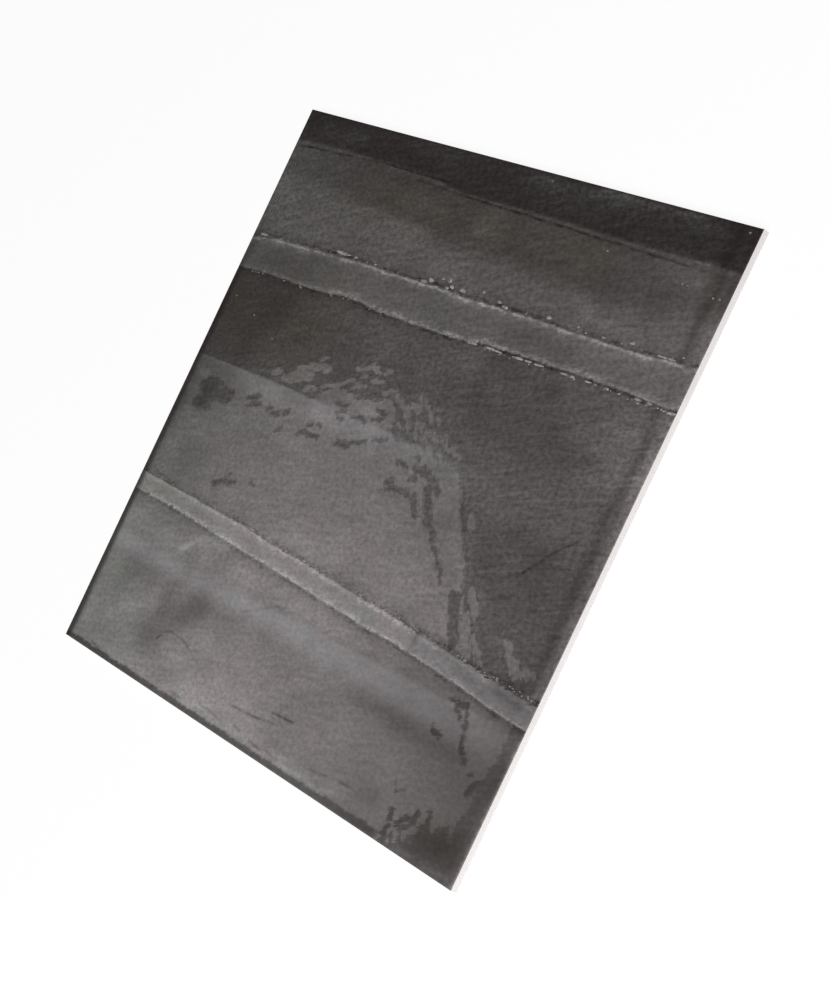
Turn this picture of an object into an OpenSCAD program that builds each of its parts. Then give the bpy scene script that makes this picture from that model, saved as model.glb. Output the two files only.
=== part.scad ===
// Square glazed porcelain tile with a worn dark-metal face: two low raised bands cross the
// glazed face from edge to edge, and the back has shallow square pockets that key the adhesive.
// It is pressed and fired as one piece. It lies on its back, with the origin at the middle of
// the back, +X along the bands, +Y towards the upper band and +Z out of the glazed face.

/* [Tile] */
// Length of each side of the square tile
tile_side = 600; // [450:1:900]
// Thickness from the back to the plain glazed face between the bands
tile_thickness = 8.5; // [6:0.1:14]
// Radius of the rounded arris along the four edges of the glazed face
arris_r = 0.8; // [0.3:0.1:2]

/* [Bands] */
// How far both bands stand above the plain glazed face
band_rise = 0.8; // [0.3:0.1:1.5]

/* [Upper band] */
// Height of the band's middle above the tile's middle, at the left edge of the tile
upper_left_y = 139; // [110:0.5:160]
// The same, halfway across the tile
upper_mid_y = 147.5; // [120:0.5:170]
// The same, at the right edge of the tile
upper_right_y = 153.5; // [125:0.5:180]
// Width of the band at the left edge of the tile
upper_left_w = 35; // [20:0.5:60]
// Width of the band at the right edge of the tile
upper_right_w = 39; // [20:0.5:60]

/* [Lower band] */
// Height of the band's middle above the tile's middle, at the left edge of the tile
lower_left_y = -121.5; // [-160:0.5:-90]
// The same, halfway across the tile
lower_mid_y = -130; // [-165:0.5:-100]
// The same, at the right edge of the tile
lower_right_y = -144.5; // [-175:0.5:-110]
// Width of the band at the left edge of the tile
lower_left_w = 20; // [10:0.5:40]
// Width of the band at the right edge of the tile
lower_right_w = 23; // [10:0.5:40]

/* [Back] */
// Side of each square pocket pressed into the back
pocket_side = 40; // [20:0.5:80]
// Width of the rib between two pockets
rib_w = 8; // [4:0.5:20]
// Depth of the pockets
pocket_depth = 0.6; // [0.3:0.1:1.5]
// Least width of the plain margin between the pockets and the edges of the tile
back_margin = 12; // [6:0.5:40]

/* [Hidden] */
half_side = tile_side / 2;
// The bands end where the arris begins
band_end_x = half_side - arris_r;
// The bands are rooted in the slab, this far above the back
band_root_z = tile_thickness / 2;
// Straight steps along each curved edge of a band
band_steps = 24;
// Pockets along each side of the back: as many as fit between the margins
pocket_pitch = pocket_side + rib_w;
pocket_count = floor((tile_side - 2 * back_margin + rib_w) / pocket_pitch);
// How far a cut runs past the face that it opens
cut_over = 1;
$fn = 96;

// Height at x of the parabola through the heights left, mid and right,
// which lie at the left edge, the middle and the right edge of the tile
function sweep_y(x, left, mid, right) =
    let (s = x / half_side)
    mid + s * (right - left) / 2 + s * s * ((right + left) / 2 - mid);

// Width at x of a band whose width changes evenly from one edge of the tile to the other
function band_w(x, left, right) = left + (right - left) * (x + half_side) / tile_side;

// The x of each step along a band, from its left end to its right end
function band_xs() = [for (i = [0 : band_steps]) band_end_x * (2 * i / band_steps - 1)];

// Flat square blank, from the back to the plain glazed face
module slab() {
    translate([-half_side, -half_side, 0])
        cube([tile_side, tile_side, tile_thickness]);
}

// What the arris takes off the slab along one edge: the corner outside a quarter round
module arris_cut() {
    translate([0, half_side, tile_thickness])
        rotate([90, 0, 90])
            linear_extrude(height = tile_side + 2 * cut_over, center = true)
                translate([-arris_r, -arris_r])
                    difference() {
                        square(arris_r + cut_over);
                        circle(r = arris_r);
                    }
}

// One raised band. heights and widths run from left to right: its two edges lie half a width
// to each side of the parabola through the heights.
module band(heights, widths) {
    lower_edge = [for (x = band_xs())
        [x, sweep_y(x, heights[0], heights[1], heights[2]) - band_w(x, widths[0], widths[1]) / 2]];
    upper_edge = [for (x = band_xs())
        [x, sweep_y(x, heights[0], heights[1], heights[2]) + band_w(x, widths[0], widths[1]) / 2]];
    translate([0, 0, band_root_z])
        linear_extrude(height = tile_thickness + band_rise - band_root_z)
            polygon(concat(lower_edge, [for (i = [band_steps : -1 : 0]) upper_edge[i]]));
}

// Square grid of pockets, centred on the back
module pockets() {
    first = -(pocket_count - 1) * pocket_pitch / 2;
    for (i = [0 : pocket_count - 1], j = [0 : pocket_count - 1])
        translate([
            first + i * pocket_pitch - pocket_side / 2,
            first + j * pocket_pitch - pocket_side / 2,
            -cut_over
        ])
            cube([pocket_side, pocket_side, pocket_depth + cut_over]);
}

// The whole fired tile, in the dark grey of its glaze
module tile() {
    color("#5E5A59")
        difference() {
            union() {
                difference() {
                    slab();
                    for (quarter = [0 : 3])
                        rotate([0, 0, 90 * quarter])
                            arris_cut();
                }
                band([upper_left_y, upper_mid_y, upper_right_y], [upper_left_w, upper_right_w]);
                band([lower_left_y, lower_mid_y, lower_right_y], [lower_left_w, lower_right_w]);
            }
            pockets();
        }
}

tile();
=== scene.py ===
"""Looks of a square porcelain tile whose glaze is printed like worn dark sheet metal: plates lapped
under two raised bands, a burnished patch with torn edges, fused beads along the bands, a pale ground
edge and a biscuit back with pockets. Lengths are in millimetres until a mesh is made in metres."""
import math

import bpy
import numpy as np
from mathutils import Matrix, Vector


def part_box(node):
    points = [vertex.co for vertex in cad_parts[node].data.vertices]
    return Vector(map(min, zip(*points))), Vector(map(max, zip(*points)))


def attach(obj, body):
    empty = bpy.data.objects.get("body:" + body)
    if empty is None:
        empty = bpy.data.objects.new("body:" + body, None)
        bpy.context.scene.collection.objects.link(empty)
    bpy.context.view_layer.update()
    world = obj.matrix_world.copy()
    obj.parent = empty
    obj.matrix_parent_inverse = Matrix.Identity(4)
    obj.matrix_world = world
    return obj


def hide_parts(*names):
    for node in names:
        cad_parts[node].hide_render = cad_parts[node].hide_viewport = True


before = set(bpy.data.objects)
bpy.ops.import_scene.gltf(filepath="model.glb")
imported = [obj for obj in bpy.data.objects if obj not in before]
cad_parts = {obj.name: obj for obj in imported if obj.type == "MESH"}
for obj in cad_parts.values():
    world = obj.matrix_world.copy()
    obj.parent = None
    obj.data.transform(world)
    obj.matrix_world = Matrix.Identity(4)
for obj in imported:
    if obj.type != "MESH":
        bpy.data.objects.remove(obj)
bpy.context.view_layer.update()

MM = 0.001
_, tile_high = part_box("tile")
HALF = tile_high.x / MM
TOP = tile_high.z / MM

# The construction's own sizes, which the face and the back repeat
BAND_RISE = 0.8
FACE = TOP - BAND_RISE
ARRIS = 0.8
ARRIS_STEPS = 4
POCKET = 40.0
POCKET_PITCH = 48.0
POCKET_COUNT = 12
POCKET_DEPTH = 0.6
POCKET_DRAFT = 0.8

# Each band's middle line at the left edge, the middle and the right edge of the tile, and its width at
# the left and the right edge
BANDS = {
    "lower": ((-121.5, -130.0, -144.5), (20.0, 23.0)),
    "upper": ((139.0, 147.5, 153.5), (35.0, 39.0)),
}
# How far above the construction's edge each foot (-1) and head (1) is laid: x and mm, with straight
# runs between them
HAND_LAID = {
    ("lower", -1): ((-300, 1.5), (-225, 2.5), (-130, 1), (90, 1), (120, 3), (215, 2.5), (245, 1), (300, 1)),
    ("lower", 1): ((-300, 0.5), (-150, 1), (-125, 2), (-90, 0), (60, 0), (115, 1), (145, -0.5), (300, -0.5)),
    ("upper", -1): (
        (-300, 0.5), (-260, 2), (-180, 0.5), (-135, 3.5), (-105, 3), (-80, 0), (-10, -1), (45, -0.5),
        (70, 3), (225, 3.5), (270, 1.5), (300, 1.5),
    ),
    ("upper", 1): (
        (-300, -1), (-270, 3), (-120, 4), (-80, 2.5), (-10, 2.5), (15, 0.5), (110, 0.5), (140, -0.5),
        (245, -1.5), (270, 0.5), (300, 0),
    ),
}
# Foot of the top plate, and the seam burnt below it, in the same form: x and y
LAP_LINE = (
    (-300, 266), (-220, 268.5), (-170, 267), (-80, 265), (-50, 260), (60, 260.5), (210, 258.5),
    (260, 260.5), (300, 259),
)
SEAM_LINE = (
    (-300, 260.5), (-230, 263), (-170, 266), (-55, 265.5), (-45, 257), (60, 256), (200, 253.5), (300, 252),
)
# Share of the light that the seam takes: x and share
SEAM_BURN = (
    (-300, 0.6), (-250, 0.55), (-220, 0.4), (-150, 0.6), (-70, 0.55), (-52, 0), (-48, 0), (-35, 0.6),
    (160, 0.58), (250, 0.3), (300, 0.05),
)


def across(x, left, middle, right):
    """Parabola through the values at the left edge, the middle and the right edge of the tile."""
    s = x / HALF
    return middle + s * (right - left) / 2 + s * s * ((right + left) / 2 - middle)


def ease(value, start, end):
    """Smooth step: 0 up to start, 1 from end on, and 3 t^2 - 2 t^3 between them."""
    t = np.clip((value - start) / (end - start), 0, 1)
    return t * t * (3 - 2 * t)


def run_through(x, places):
    """Value at x of the line that runs straight from each of these places to the next."""
    return np.interp(x, *zip(*places))


def band_edge(x, band, side):
    """A band's edge: its middle line, plus (side 1) or minus (side -1) half its width at x, and as much
    higher as it is laid by hand."""
    line, (left, right) = BANDS[band]
    width = left + (right - left) * (x + HALF) / (2 * HALF)
    return across(x, *line) + side * width / 2 + run_through(x, HAND_LAID[band, side])


# How far a line laid by hand wanders: wavelengths and reaches
HAND_LENGTHS, HAND_REACH = (7, 13, 29, 61), (0.15, 0.15, 0.2, 0.25)
# Seeds of the random draws: the bands' edges, the other lines, the waviness and the beads
SEEDS = {
    ("lower", -1): 10, ("upper", -1): 11, ("lower", 1): 20, ("upper", 1): 21,
    "lap": 31, "seam": 32, "stripe": 33, "foot": 34, "waves": 5, "beads": 17, "swell": 23,
}


def wander(x, seed, lengths=HAND_LENGTHS, reach=HAND_REACH):
    """Uneven hand-laid line: a sum of cosines along x with these wavelengths and reaches, whose phases
    the seed of that name draws."""
    phases = np.random.default_rng(SEEDS[seed]).uniform(0, 2 * np.pi, len(lengths))
    return sum(r * np.cos(2 * np.pi * x / n + p) for n, r, p in zip(lengths, reach, phases))


def linear(level):
    """sRGB level, from 0 to 255, as linear light."""
    share = np.asarray(level, float) / 255
    return np.where(share <= 0.04045, share / 12.92, ((share + 0.055) / 1.055) ** 2.4)


def paint(code):
    """An sRGB hex colour as linear RGBA."""
    return (*(float(linear(int(code[i:i + 2], 16))) for i in (1, 3, 5)), 1.0)


# The face's rows lie in stretches between guide lines: a border along the foot, then lines so far below
# and above each band edge and the lap. Steps of each stretch from the foot up, and of the columns
BORDER = 9.6
EDGE_REACH = 6.0
LAP_REACH = 8.0
ROW_STEPS = (6, 52, 16, 4, 16, 120, 16, 8, 16, 21, 16, 9)
COLUMN_STEPS = 298


def face_grid():
    """x, y of the face's grid, rows by columns. Columns are evenly spaced. Each row lies a fixed
    share of the way between two guide lines, so that rows follow the bands' edges and the lap. Outside
    them, rows and columns step round the arris."""
    inner = HALF - ARRIS
    out = ARRIS * np.sin(np.linspace(0, np.pi / 2, ARRIS_STEPS + 1)[1:])
    x = np.concatenate([-inner - out[::-1], np.linspace(-inner, inner, COLUMN_STEPS + 1), inner + out])
    flat = np.zeros_like(x)
    guides = [flat - inner, flat - inner + BORDER]
    for band in BANDS:
        for side in (-1, 1):
            edge = band_edge(x, band, side)
            guides += [edge - EDGE_REACH, edge + EDGE_REACH]
    lap = run_through(x, LAP_LINE)
    guides += [lap - LAP_REACH, lap + LAP_REACH, flat + inner]
    rows = [guides[0][None]]
    for low, high, steps in zip(guides[:-1], guides[1:], ROW_STEPS):
        share = np.linspace(0, 1, steps + 1)[1:, None]
        rows.append(low + (high - low) * share)
    foot = -inner - out[::-1, None] + flat
    head = inner + out[:, None] + flat
    y = np.concatenate([foot, *rows, head])
    return np.broadcast_to(x, y.shape), y


def past_edges(x, y):
    """Signed distance to the nearest band edge, in mm, below 0 on a band. The edges wander."""
    past = np.full(x.shape, np.inf)
    for band in BANDS:
        below = band_edge(x, band, -1) + wander(x, (band, -1)) - y
        above = y - band_edge(x, band, 1) - wander(x, (band, 1))
        past = np.minimum(past, np.maximum(below, above))
    return past


def past_lap(x, y):
    """How far above the top plate's foot every point lies, in mm. The foot wanders too."""
    return y - run_through(x, LAP_LINE) - wander(x, "lap")


def past_seam(x, y):
    """How far above the seam every point lies, in mm."""
    return y - run_through(x, SEAM_LINE) - wander(x, "seam")


# Relief of the face: width of the step up to a band, how far the band dips behind its rim and over
# which stretch, the groove beside the step, the ridge and groove of the lap, the lengths and the reach of
# the waves, and how far from the tile's edges all of it fades out
STEP_WIDTH = 1.6
RIM_DIP = 0.22
DIP_STRETCH = (1.5, 5.5)
GROOVE, GROOVE_PAST, GROOVE_HALF = 0.12, 2.0, 1.2
LAP_RIDGE, SEAM_GROOVE, LAP_HALF = 0.05, 0.3, 1.6
WAVE_LENGTHS = (52.0, 67.0, 83.0, 111.0, 149.0, 190.0)
WAVE_REACH = 0.018
RELIEF_END = 3 * ARRIS


def waviness(x, y):
    """Slight waviness of rolled sheet: a sum of plane waves, each with its own direction and phase."""
    draw = np.random.default_rng(SEEDS["waves"])
    turns = draw.uniform(0, np.pi, len(WAVE_LENGTHS))
    phases = draw.uniform(0, 2 * np.pi, len(WAVE_LENGTHS))
    return sum(
        WAVE_REACH * np.cos(2 * np.pi * (x * np.cos(a) + y * np.sin(a)) / n + p)
        for n, a, p in zip(WAVE_LENGTHS, turns, phases)
    )


def face_height(x, y, past):
    """Height of the face: the plain face and its waviness; on a band the rise, as a smooth step with
    a rim along it and a dip behind the rim; a groove outside the step; a ridge along the lap, and a
    groove along the seam that is deeper where it is burnt; and near an edge the larger of the two
    quarter-round drops of the arris."""
    on_band = 1 - ease(past, -STEP_WIDTH / 2, STEP_WIDTH / 2)
    behind_rim = ease(-past, *DIP_STRETCH)
    relief = on_band * (BAND_RISE - RIM_DIP * behind_rim)
    relief -= (1 - on_band) * GROOVE * np.exp(-((past - GROOVE_PAST) / GROOVE_HALF) ** 2)
    relief += LAP_RIDGE * np.exp(-((past_lap(x, y) / LAP_HALF) ** 2))
    relief -= SEAM_GROOVE * run_through(x, SEAM_BURN) * np.exp(-((past_seam(x, y) / LAP_HALF) ** 2))
    relief += waviness(x, y) * (1 - on_band * (1 - behind_rim))
    off_middle = np.maximum(np.abs(x), np.abs(y))
    beyond = np.clip(off_middle - (HALF - ARRIS), 0, ARRIS)
    relief *= 1 - ease(off_middle, HALF - RELIEF_END, HALF - ARRIS)
    return FACE + relief - (ARRIS - np.sqrt(ARRIS ** 2 - beyond ** 2))


# How far to both sides of the lap the top plate's print blends into the one below it
LAP_SOFT = 3.0
# How light each plate and band is printed, as sRGB levels at its left, middle and right,
# first along its foot and then along its head, and where between them the one turns to the other
LOWER_PLATE = ((106, 115, 67), (99, 110, 70), (0.1, 0.9))
LOWER_CORNER = ((57, 57, 57), (57, 57, 57), (0.0, 1.0))
LOWER_BAND = ((113, 127, 98), (113, 124, 92), (0.0, 1.0))
MIDDLE_PLATE_BRIGHT = ((89, 114, 88), (84, 100, 74), (0.0, 0.8))
MIDDLE_PLATE_DULL = ((81, 92, 61), (43, 71, 78), (0.2, 0.9))
UPPER_BAND = ((74, 83, 86), (73, 84, 91), (0.0, 1.0))
UPPER_PLATE = ((83, 82, 87), (70, 57, 73), (0.3, 0.6))
TOP_PLATE = ((35, 29, 36), (25, 39, 34), (0.2, 0.7))

# Soft clouds in the print: start x and y, end x and y, half width, change of level
CLOUDS = (
    # Top plate
    (-295, 263.5, -215, 264, 4.5, -6), (-265, 284, -205, 284, 9, 11), (-60, 285, 10, 285, 8, -9),
    (10, 272, 130, 268, 7, 4), (30, 291, 150, 291, 7, 8), (120, 297, 232, 297, 4, 21),
    (180, 263, 275, 263, 5, 6), (225, 291, 262, 288, 7, 8), (278, 290, 278, 268, 8, -6),
    # Upper plate
    (-290, 212, -272, 206, 10, 11), (-290, 222, -60, 212, 8, 12), (-200, 259, -120, 257, 6, -4),
    (-175, 236, -130, 232, 12, -4), (-160, 255, -70, 254, 6, -4), (-85, 238, -55, 236, 9, 8),
    (-40, 256.5, 235, 255, 4, -5), (-30, 185, -8, 185, 9, 8), (0, 228, 30, 226, 9, 8),
    (10, 250, 0, 235, 12, 10), (80, 206, 190, 205, 14, -9), (152, 195, 163, 194, 9, 10),
    (165, 185, 190, 182, 9, 9), (230, 208, 215, 204, 14, -7), (222, 250, 265, 245, 9, 9),
    (276, 266, 277, 222, 6.5, -12),
    # Upper band
    (-293, 172, -293, 140, 6, -15), (-262, 158, -212, 161, 5, 10), (-260, 138, -200, 140, 14, -8),
    (10, 164, 45, 165, 5, 11), (36, 132, 62, 132, 5, -9), (90, 150, 165, 151, 12, -10),
    (130, 136.5, 182, 140, 4, -9),
    # Middle plate
    (-300, 17, -235, 15, 10, -16), (-292, -70, -292, 0, 7, -14), (-290, -60, -270, -90, 14, 8),
    (-290, 36, -230, 36, 12, -5), (-284, 0, -284, -28, 8, -7), (-282, 4, -273, 8, 5, 8),
    (-278, -106.5, -259, -107.5, 1.6, -14), (-277, -109.5, -259, -109.5, 1.6, 9),
    (-268, -22, -254, -22, 6, -8), (-262, -5, -258, -22, 13, -12), (-205, 112, -240, 50, 18, -11),
    (-210, -20, -70, -20, 12, 5), (-200, 11, -155, 11, 8, 10), (-188, -90, -165, -81, 5, -15),
    (-178, -10, -150, -12, 10, 6), (-148, 20, -115, 19, 7, -8), (-140, 105, 40, 100, 30, 5),
    (-124, 62, -112, 66, 7, -8), (-112, 9, -98, 11, 8, 7), (-106, 36, -97, 32, 6, -8),
    (-105, -112, -80, -115, 6, 11), (-95, 12, -60, 14, 11, 8), (-90, -42, -10, -42, 20, -5),
    (-75, -100, 10, -97, 12, 8), (-72, 25, -60, 26, 6, 9), (-70, -112, 20, -116, 7, 5),
    (-60, 45, -20, 30, 10, 11), (30, -27, 58, -27, 5, -8), (45, 100, 50, 70, 16, -8),
    (72, 14, 96, 13, 6, -10), (90, 121, 165, 116, 15, -14), (100, 75, 190, 75, 30, -12),
    (110, 12, 122, 6, 5, 9), (121, 4, 156, -50, 3.5, -14), (144, -38, 152, -52, 7, 8),
    (164, -60, 167, -78, 7, 11), (165, -30, 190, -60, 16, -10), (172, -123, 192, -125, 2.5, -20),
    (172, -108, 182, -116, 6, 9), (190, -70, 196, -80, 7, 11), (195, -15, 240, -30, 18, -10),
    (196, -126, 214, -128, 2.5, -18), (214, 70, 256, 68, 10, -8), (222, -127, 270, -129, 4, -7),
    (262, 22, 274, 14, 10, 9), (270, 110, 270, 70, 28, 12), (290, -131, 297, -131, 7, 11),
    # Lower band
    (-195, -126, -172, -128, 7, -9), (113, -145, 136, -147, 6, 10), (118, -132, 132, -134, 7, 8),
    (146, -130, 146, -136, 3, -18), (146, -124, 152, -125, 3, -22), (165, -143, 200, -146, 5, -8),
    (178, -131, 202, -133, 4, -9), (205, -139, 232, -141, 5, -12), (238, -147, 246, -134, 3, -12),
    (240, -149, 280, -152, 5, -5), (252, -137, 283, -140, 5, -16),
    # Lower plate
    (-295, -285, -295, -256, 6, -20), (-290, -160, 90, -160, 9, 6), (-287, -180, -287, -153, 9, 15),
    (-280, -270, -270, -150, 14, 10), (-270, -180, -250, -180, 10, 5), (-250, -289, 140, -288, 9, 7),
    (-250, -255, -195, -222, 9, 9), (-240, -205, -215, -200, 12, -10), (-192, -166, -172, -147, 3, 20),
    (-178, -200, -180, -225, 11, -13), (-130, -205, -178, -250, 16, -21), (-170, -158, -168, -180, 8, -7),
    (-165, -147, -130, -138, 8, 20), (-160, -222, -125, -212, 12, -6), (-158, -296, -125, -296, 4, 18),
    (-150, -261, -120, -261, 8, 8), (-118, -200, -98, -194, 8, -9), (-105, -152, 10, -155, 12, 7),
    (-100, -205, -65, -205, 10, -5), (-95, -231, -72, -232, 9, 8), (-90, -272, 0, -272, 22, 12),
    (-75, -180, 15, -181, 8, 9), (-60, -262, -20, -259, 9, 8), (8, -217, 22, -216, 9, -8),
    (18, -277, 58, -279, 8, -6), (30, -155, 130, -160, 10, 7), (44, -188, 56, -190, 8, 8),
    (62, -290, 102, -293, 7, 13), (70, -176, 115, -175, 7, 5), (105, -279, 122, -281, 7, -7),
    (120, -200, 240, -203, 12, -14), (165, -268, 180, -268, 9, -8), (205, -296, 245, -296, 4, 10),
    (216, -163, 240, -164, 5, 9), (250, -276, 285, -272, 14, -15), (255, -168, 285, -175, 18, 12),
    (262, -296, 290, -295, 5, 12), (270, -276, 276, -264, 9, -8), (296, -213, 296, -190, 6, -11),
)
# Thin scratches in the print: start x and y, end x and y, and the share of the light that each takes,
# below 0 where it is worn bright. Those that join run the same way.
SCRATCHES = (
    (-32, -269, 0, -267, 0.3), (0, -267, 36, -261, 0.4), (26, -254, 52, -252, 0.38),
    (-166, -252, -157, -241, 0.3), (-157, -241, -150, -239, 0.3), (-150, -239, -127, -241, 0.25),
    (-127, -241, -109, -248, 0.2), (-70, -187, -28, -166, 0.15), (14, -288, 27, -289, 0.3),
    (-69, -284, -35, -286, 0.2), (197, -249, 200, -254, 0.4), (213, -46, 218, -42, 0.35),
    (221, -43, 226, -37, 0.5), (226, -37, 246, -12, 0.45), (250, -9, 262, 2, 0.4),
    (100, -279, 117, -277, 0.35), (140, -274, 151, -273, 0.35), (200, -254, 207, -250, 0.3),
    (34, -287, 46, -288, 0.3), (-12, -284, 2, -285, 0.25), (-112, -289.5, -98, -290, 0.25),
    (-254, -291.5, -244, -291.5, 0.3), (-105, 259.5, -45, 257.5, 0.3), (-185, 268.6, -72, 268.3, -0.35),
)
# How far from a scratch its share begins to fade and is gone
SCRATCH_REACH = (2.5, 4.5)

# Outlines of the burnished print: between the bands, and below the lower band
MIDDLE_PATCH = (
    (-310, 23), (-190, 26), (-108, 26), (-103, 33), (-92, 40), (-74, 45), (-60, 46), (-52, 41), (-44, 47),
    (-32, 45), (-20, 52), (-9, 54), (1, 47), (8, 28), (13, 21), (30, 22), (48, 24), (66, 21), (99, 20),
    (112, 11), (122, 2), (128, -11), (138, -25), (150, -40), (160, -55), (168, -72), (180, -92),
    (193, -110), (207, -126), (207, -150), (-310, -150),
)
LOWER_PATCH = (
    (-310, -110), (283, -110), (286, -170), (284, -192), (280, -208), (279, -240), (275, -252), (266, -258),
    (250, -264), (236, -268), (222, -274), (214, -284), (206, -291), (206, -310), (-310, -310),
)
# Outline of the dull island in the left part of the print between the bands
ISLAND = (
    (-268, 3), (-263, 7), (-253, 8), (-245, 6), (-235, 3), (-222, 4), (-217, -2), (-218, -9), (-223, -15),
    (-239, -14), (-251, -19), (-257, -28), (-263, -31), (-273, -28), (-277, -23), (-268, -16), (-275, -8),
    (-276, -4),
)
# Dull strokes torn into the burnished print: start x, y, end x, y and half width
DULL_STROKES = (
    (-252, -26, -247, -24, 3.2), (-196, 1, -182, 7, 3.2), (-194, -6, -177, 0, 3.2),
    (-162, -1, -158, 1, 3.2), (-156, -4, -146, -3, 3.2), (-138, 2, -133, 4, 3.4),
    (-138, -18, -132, -13, 2.2), (-98, 1, -95, 3, 3), (-86, 4, -82, 5, 2.2), (-108, -10, -100, -7, 2.8),
    (-100, -7, -80, -7, 3), (-52, -4, -37, -2, 3.7), (-37, 0, -28, 5, 2.6), (-28, 5, -16, 8, 2.6),
    (-9, 13, 8, 18, 2), (-75, 31, -60, 33, 2.4), (-71, 23, -60, 27, 2.4), (-66, 18, -60, 19, 2.5),
    (-48, 24, -38, 27, 2.5), (-38, 27, -28, 25, 2.4), (-22, 29, -9, 34, 2.8), (-20, 40, -8, 39, 2.7),
    (31, -16, 36, -15, 4.5), (36, -21, 62, -19, 3.7), (62, -19, 70, -18, 3.2), (70, -20, 80, -33, 4.5),
    (82, -8, 98, -34, 5.5), (98, -35, 112, -42, 3.4), (112, -46, 122, -55, 2.8), (122, -55, 135, -66, 2.5),
    (135, -66, 143, -76, 2.2), (88, 0, 95, -8, 4), (55, 6, 62, 3, 3.7), (66, 7, 82, 1, 4.5),
    (58, -5, 62, -3, 3), (52, 15, 56, 13, 2.7), (33, 5, 46, 1, 2.7), (166, -84, 187, -118, 6.5),
    (190, -97, 193, -106, 2.8), (-191, -91.5, -186, -89.5, 2.8), (-183, -86, -172, -82, 3),
    (-168, -84, -161, -80, 2.8), (-172, -76, -171, -75, 2.4), (-139, -74, -133, -75, 2.2),
    (216, -162, 228, -162, 3), (222, -166, 230, -172, 2.2), (232, -160, 240, -176, 2.2),
    (240, -176, 244, -192, 2.8), (244, -192, 256, -203, 2.8), (208, -192, 217, -195, 3),
    (280, -212, 276, -214, 3.2), (276, -214, 272, -224, 3.7), (267, -209, 268, -210, 2.6),
    (206, -270, 207, -277, 3), (209, -283, 208, -292, 3.4), (233, -260, 231, -268, 3.2),
    (246, -256, 247, -263, 3), (226, -268, 218, -276, 4),
)
# Bright flakes beyond the burnished print's outline, in the same form
BRIGHT_FLAKES = (
    (-245, -1, -238, 3, 2), (-229, 3, -221, 5.5, 1.8), (-272, -9, -266, -16, 2.4),
    (-178, 34, -168, 38, 3.5), (-160, 33, -150, 36, 4), (-150, 37, -128, 45, 6.5),
    (-146, 47, -136, 49, 3.3), (-132, 53, -108, 58, 4.5), (-124, 63, -114, 68, 2.2),
    (-125, 31, -119, 34, 2.8), (-115, 35, -112, 36, 2.8), (-106, 39, -97, 44, 2.8), (-97, 44, -84, 46, 2.8),
    (-84, 46, -78, 52, 2.2), (-76, 54, -68, 58, 2.2), (-64, 52, -50, 57, 2.1), (-45, 61, -30, 66, 2),
    (-68, 69, -55, 72.5, 2.2), (-60, 62, -54, 64, 2), (-51, 77, -44, 76, 3), (-45, 74, -39, 73, 2.6),
    (-32, 75, -26, 78, 2.6), (-22, 58, -8, 62, 2.3), (-8, 63, -3, 57, 2.8), (-2, 57, 8, 54, 3.3),
    (12, 52, 20, 43, 2.4), (20, 43, 26, 36, 2.4), (12, 36, 16, 33, 2.2), (18, 56, 30, 58, 2.8),
    (13, 54, 30, 52, 2.2), (24, 66, 38, 61, 2.5), (38, 61, 48, 51, 2.5), (48, 62, 53, 61, 2.2),
    (32, 45, 36, 41, 2.6), (38, 44, 44, 40, 2.6), (36, 33, 48, 30, 2.6), (50, 38, 62, 38, 3.4),
    (56, 52, 60, 51, 2), (44, 30, 58, 31, 2.8), (60, 27, 66, 23, 3.2), (66, 34, 72, 36, 2.5),
    (75, 42, 82, 30, 2.3), (74, 28, 78, 24, 2.8), (94, 31, 102, 29, 2.6), (84, 31, 92, 35, 2.2),
    (175, -82, 181, -94, 2.2), (181, -72, 196, -88, 4), (188, -94, 206, -124, 5.5),
    (206, -108, 224, -124, 3.2), (243, -99, 249, -106, 4.4), (257, -110, 265, -118, 5.2),
    (143, -13, 150, -24, 3), (272, -114, 281, -114, 4), (271, -252, 276, -264, 2.8),
    (259, -256, 254, -265, 2.6), (238, -272, 230, -282, 3.2), (220, -284, 221, -289, 3.2),
    (212, -286, 214, -292, 2.2),
)
# Depths inside the burnished print go no further than this, and this is the depth where it never comes
DEEPEST = 12.0
NEVER = -60.0
# The dull strokes are burnt darker than the dull plate, by this many levels once they are this deep
STROKE_BURN = 9.0
STROKE_EASE = (-0.5, 2.0)

# Casts of the print's grey: colour, start x and y, end x and y, half width, share at its middle
PEWTER = "#C0B9B8"
UMBER = "#C5BEB0"
OLIVE = "#BEBDB9"
MOSS = "#B3BEB4"
# Cool pewter also tints the cool bars of painted reflection
COOL_PEWTER = "#BDBABD"
CASTS = (
    (OLIVE, -290, 300, -290, -300, 110, 1.0),
    (OLIVE, -300, 140, 130, 150, 22, 0.5),
    (UMBER, -170, 236, 150, 238, 24, 0.9),
    (OLIVE, -300, 285, 300, 280, 18, 1.0),
    (OLIVE, -300, -298, 195, -297, 6, 0.8),
    (UMBER, -270, 75, -150, 90, 34, 1.0),
    (UMBER, 255, -274, 285, -272, 14, 0.9),
    (UMBER, 278, 252, 280, 222, 8, 0.6),
    (MOSS, -285, 290, -190, 292, 12, 0.9),
    (MOSS, -90, 288, -40, 278, 14, 0.8),
    (MOSS, 30, 293, 150, 290, 9, 0.9),
    (MOSS, 235, 290, 295, 272, 14, 0.9),
    (MOSS, 45, 14, 105, 12, 9, 0.5),
    (COOL_PEWTER, -225, -126, -200, -127, 9, 0.6),
    (COOL_PEWTER, -20, -129, 90, -134, 7, 0.5),
    (COOL_PEWTER, 150, -138, 285, -142, 8, 0.9),
)
# Upper cool bar, a painted reflection of cool light: its sharp head, the drop over which it fades at the
# left and at the right, the x between which that changes, and the x over which the bar comes and goes
COOL_BAR_HEAD = 25.0
COOL_BAR_DROP, COOL_BAR_TURN = (18.0, 11.0), (30.0, 100.0)
COOL_BAR_COMES, COOL_BAR_GOES = (-285.0, -215.0), (40.0, 200.0)
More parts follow.
